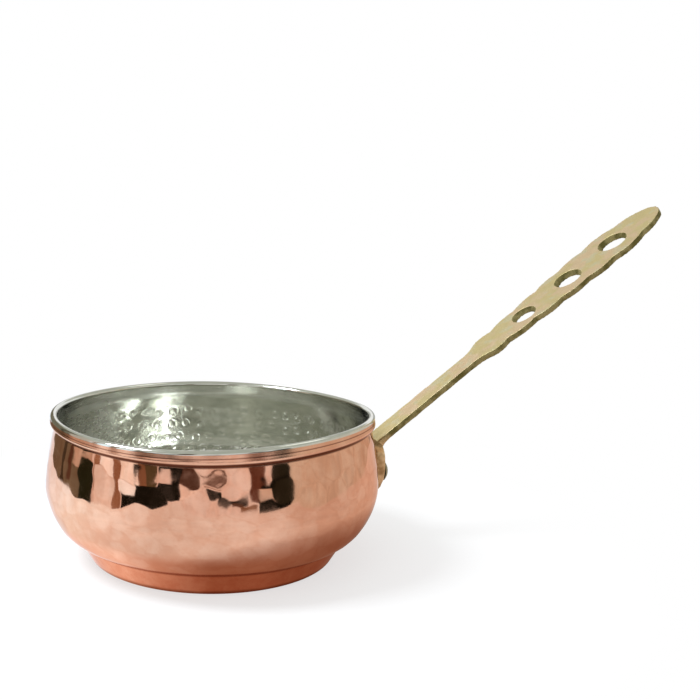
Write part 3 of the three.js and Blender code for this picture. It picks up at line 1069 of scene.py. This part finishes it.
def stage_material(name):
    finish = Finish(name)
    finish.tree.nodes.remove(finish.shader)
    finish.end = next(node for node in finish.tree.nodes if node.type == "OUTPUT_MATERIAL")
    return finish


def show(finish, shader):
    finish.tree.links.new(shader.socket, finish.end.inputs["Surface"])


def glow_in_reflections(piece, colour, strength):
    paint = stage_material(piece.name)
    show(paint, paint.emission(colour, strength(paint)))
    piece.data.materials.append(paint.material)
    for kind in ("camera", "diffuse", "transmission", "volume_scatter", "shadow"):
        setattr(piece, "visible_" + kind, False)


# %% [markdown]
# ## Floor
#
# The pan stands on a wide white floor that fades into a white background. Daylight falls from the
# left, so the floor that the copper mirrors is bright on the left and dim and warm on the right.
# Close to the pan it is darker, in its own shadow. Both tones change with the bearing, written as a
# share of a full turn. The floor's nodes mix a plain matt white, which takes the soft shadow, with
# a glow that only the camera or only reflections see.

# %% Floor
floor = disk("floor", 96, 12, (0, 0, 0))
white = stage_material("white floor")
matt = white.node("BsdfDiffuse", {}, {"Color": (0.9, 0.9, 0.9)})
from_pan = white.node("VectorMath", {"operation": "LENGTH"}, {0: white.place}, output="Value")
far = white.between(from_pan, 0.06, 0.20)
camera_ray = white.node("LightPath", output="Is Camera Ray")
glossy_ray = white.node("LightPath", output="Is Glossy Ray")
camera_glow = white.emission((1, 1, 1), 1.0)
seen_floor = white.node("MixShader", {}, {0: 0.66 + 0.34 * far, 1: matt, 2: camera_glow})
across, away = white.parts_of_place()[:2]
bearing = white.node("Math", {"operation": "ARCTAN2"}, {0: across, 1: 0 - away})
turn_share = bearing / math.tau + 0.5
daylight = white.node("ValToRGB", {"stops": (
    (0.0, (0.95, 1.1, 1.2)), (0.14, (1.12, 1.4, 1.65)), (0.24, (1.15, 1.35, 1.45)),
    (0.31, (1.05, 1.08, 1.1)), (0.39, (0.83, 0.81, 0.79)), (0.53, (0.91, 0.89, 0.88)),
    (0.59, (0.75, 0.66, 0.60)), (0.66, (0.70, 0.59, 0.52)), (0.72, (0.75, 0.65, 0.58)),
    (0.80, (0.84, 0.75, 0.69)), (1.0, (0.95, 1.1, 1.2)),
)}, {0: turn_share})
under_the_pan = white.node("ValToRGB", {"stops": (
    (0.0, (0.4, 0.3, 0.25)), (0.2, (1.15, 1.2, 1.3)), (0.34, (1.2, 1.15, 1.15)),
    (0.39, (0.72, 0.52, 0.44)), (0.46, (0.38, 0.195, 0.13)), (0.60, (0.30, 0.16, 0.11)),
    (1.0, (0.4, 0.3, 0.25)),
)}, {0: turn_share})
shadow_reach = white.between(turn_share, 0.40, 0.62)
near = 1 - white.between(from_pan, 0.066, 0.080 + 0.05 * shadow_reach)
seen_tone = white.blend(near, daylight, under_the_pan)
mirrored = white.emission(seen_tone, 0.85 + 0.3 * white.noise(30))
lit = white.node("MixShader", {}, {0: glossy_ray, 1: matt, 2: mirrored})
show(white, white.node("MixShader", {}, {0: camera_ray, 1: lit, 2: seen_floor}))
floor.data.materials.append(white.material)
print("floor nodes:", len(white.tree.nodes))

# %% [markdown]
# ## World
#
# The camera and the reflections see a plain white room. The light that falls on matt things from
# it is a little weaker, which leaves room for the lamp and its shadow.

# %% World
AMBIENT = 0.72
world = bpy.data.worlds.new("white room")
bpy.context.scene.world = world
world.use_nodes = True
tree = world.node_tree
background = tree.nodes["Background"]
background.inputs["Color"].default_value = (1, 1, 1, 1)
rays = tree.nodes.new("ShaderNodeLightPath")
full_white = rays.outputs["Is Camera Ray"]
for kind in ("Is Glossy Ray", "Is Transmission Ray"):
    either = tree.nodes.new("ShaderNodeMath")
    either.operation, either.use_clamp = "ADD", True
    tree.links.new(full_white, either.inputs[0])
    tree.links.new(rays.outputs[kind], either.inputs[1])
    full_white = either.outputs[0]
level = tree.nodes.new("ShaderNodeMapRange")
level.inputs["To Min"].default_value = AMBIENT
tree.links.new(full_white, level.inputs[0])
tree.links.new(level.outputs[0], background.inputs["Strength"])
print("ambient light", AMBIENT)

# %% [markdown]
# ## Window
#
# One round lamp stands for a window high on the left. It gives the soft shadow on the right and the
# bright patch in the tin.

# %% Lamp
WINDOW_PLACE, WINDOW_AIM = Vector((-0.75, 0.04, 1.10)), Vector((0, 0, 0.03))
WINDOW_SIZE, WINDOW_POWER = 0.50, 19
window = bpy.data.lights.new("left window", "AREA")
window.shape, window.size, window.energy = "DISK", WINDOW_SIZE, WINDOW_POWER
window.color = (0.88, 0.94, 1.0)
lamp = bpy.data.objects.new("left window", window)
lamp.location = WINDOW_PLACE
lamp.rotation_euler = (WINDOW_AIM - WINDOW_PLACE).to_track_quat("-Z", "Y").to_euler()
bpy.context.scene.collection.objects.link(lamp)
print("window", WINDOW_SIZE, "m wide,", WINDOW_POWER, "W")

# %% [markdown]
# ## The dim room in the copper
#
# Beyond the table stands a dim room with furniture in it, and the wall of the pan mirrors it as a
# dark broken band. A few coloured cards stand in for it along the table's edges. Every side of the
# table is given by its distance in metres and the bearing it faces.

# %% Table's edges and one card
TABLE_SIDES = ((0.235, 160), (0.55, 270), (0.375, 0), (0.6, 90))
CARD_STEP = 4


def table_edge(bearing, nearer):
    toward = math.radians(bearing)
    shares = [(side, math.cos(toward - math.radians(facing))) for side, facing in TABLE_SIDES]
    reach = min(side / share for side, share in shares if share > 0.1) - nearer
    return reach * math.cos(toward), reach * math.sin(toward)


def card(name, start, stop, low, high, colour, nearer):
    steps = max(int(abs(stop - start) / CARD_STEP), 1)
    bearings = np.linspace(start, stop, steps + 1)
    points = [(*table_edge(bearing, nearer), low * MM) for bearing in bearings]
    piece = first_vertex(name, points[0])
    draw_on(points)
    select_all()
    bpy.ops.mesh.extrude_region_move(TRANSFORM_OT_translate={"value": (0, 0, (high - low) * MM)})
    bpy.ops.object.mode_set(mode="OBJECT")
    glow_in_reflections(piece, colour, lambda paint: 0.72 + 0.56 * paint.noise(20))


# %% [markdown]
# ## The cards
#
# Every card is given by the two bearings it spans as seen from the pan, its bottom and top edges in
# millimetres, and its colour. Each stands a millimetre nearer than the one before, and covers it.

# %% Cards along the table's edges
DARK, OLIVE, BROWN = (0.008, 0.008, 0.005), (0.19, 0.17, 0.12), (0.26, 0.15, 0.09)
RED_BROWN, WALL = (0.13, 0.055, 0.035), (0.67, 0.61, 0.52)
PALE, PINK = (1.15, 1.3, 1.4), (0.86, 0.80, 0.78)
CARDS = (
    (96, 30, 0, 130, (0.40, 0.40, 0.37)),
    (30, -56, 0, 200, WALL),
    (-56, -190, 0, 200, PINK),
    (-190, -265, 0, 200, OLIVE),
    (-209, -214, 0, 200, (0.07, 0.06, 0.04)),
    (-201, -204, 12, 60, (0.10, 0.05, 0.03)),
    (-180, -200, 30, 200, (0.60, 0.50, 0.42)),
    (-179, -190, 0, 37, (0.02, 0.025, 0.012)),
    (-173, -178, 12, 200, (0.36, 0.21, 0.13)),
    (-164, -174, 37, 200, PALE),
    (-164, -177, 0, 35, (0.95, 0.95, 0.95)),
    (-160, -165, 0, 200, (0.32, 0.18, 0.11)),
    (-149, -160, 42, 200, (1.08, 1.1, 1.1)),
    (-151, -161, 20, 39, PALE),
    (-144, -149, 46, 200, BROWN),
    (-137, -144, 50, 78, (0.10, 0.085, 0.045)),
    (-151, -159, 0, 22, DARK),
    (-133, -151, 0, 54, DARK),
    (-124, -136, 30, 80, DARK),
    (-123, -130, 70, 122, DARK),
    (-114, -124, 86, 400, (0.08, 0.04, 0.025)),
    (-112, -124, 42, 87, (0.95, 0.90, 0.88)),
    (-97, -113, 112, 120, (0.10, 0.05, 0.03)),
    (-99, -110, 92, 99, (0.16, 0.08, 0.05)),
    (-99, -108, 50, 76, DARK),
    (-84, -101, 34, 50, DARK),
    (-86, -93, 26, 40, (0.10, 0.05, 0.03)),
    (-79, -88, 8, 30, BROWN),
    (-73, -83, 45, 200, RED_BROWN),
    (-56, -67, 0, 200, (0.02, 0.02, 0.012)),
    (-56, -75, 84, 108, DARK),
    (-65, -76, 55, 83, (0.70, 0.60, 0.52)),
    (-56, -77, 0, 54, DARK),
)
for number, (start, stop, low, high, colour) in enumerate(CARDS):
    card("room card " + str(number + 1), start, stop, low, high, colour, number * MM)
print(len(CARDS), "cards")

# %% [markdown]
# ## Ceiling
#
# The inside of the bowl looks up. A grey ceiling, dimmer in places, gives the tin its depth.

# %% Ceiling for reflections
ceiling = disk("ceiling", 64, 3.0, (0, 0, 1.15))
glow_in_reflections(ceiling, (0.52, 0.53, 0.47), lambda paint: 0.55 + 0.9 * paint.noise(350, 3))

# %% [markdown]
# ## A pale patch on the ceiling
#
# A small, brighter disk just under the ceiling lights up a few rings on the right of the tin. As a
# piece of its own, it can be moved until the rings lie well.

# %% Pale patch on the ceiling
patch = disk("ceiling patch", 48, 0.24, (0.60, 0.20, 1.12))
glow_in_reflections(patch, (1.5, 1.5, 1.4), lambda paint: 1.0)

# %% [markdown]
# ## Finish
#
# The last cell sets the colour view to Standard.

# %% Colour view
bpy.context.scene.view_settings.view_transform = "Standard"
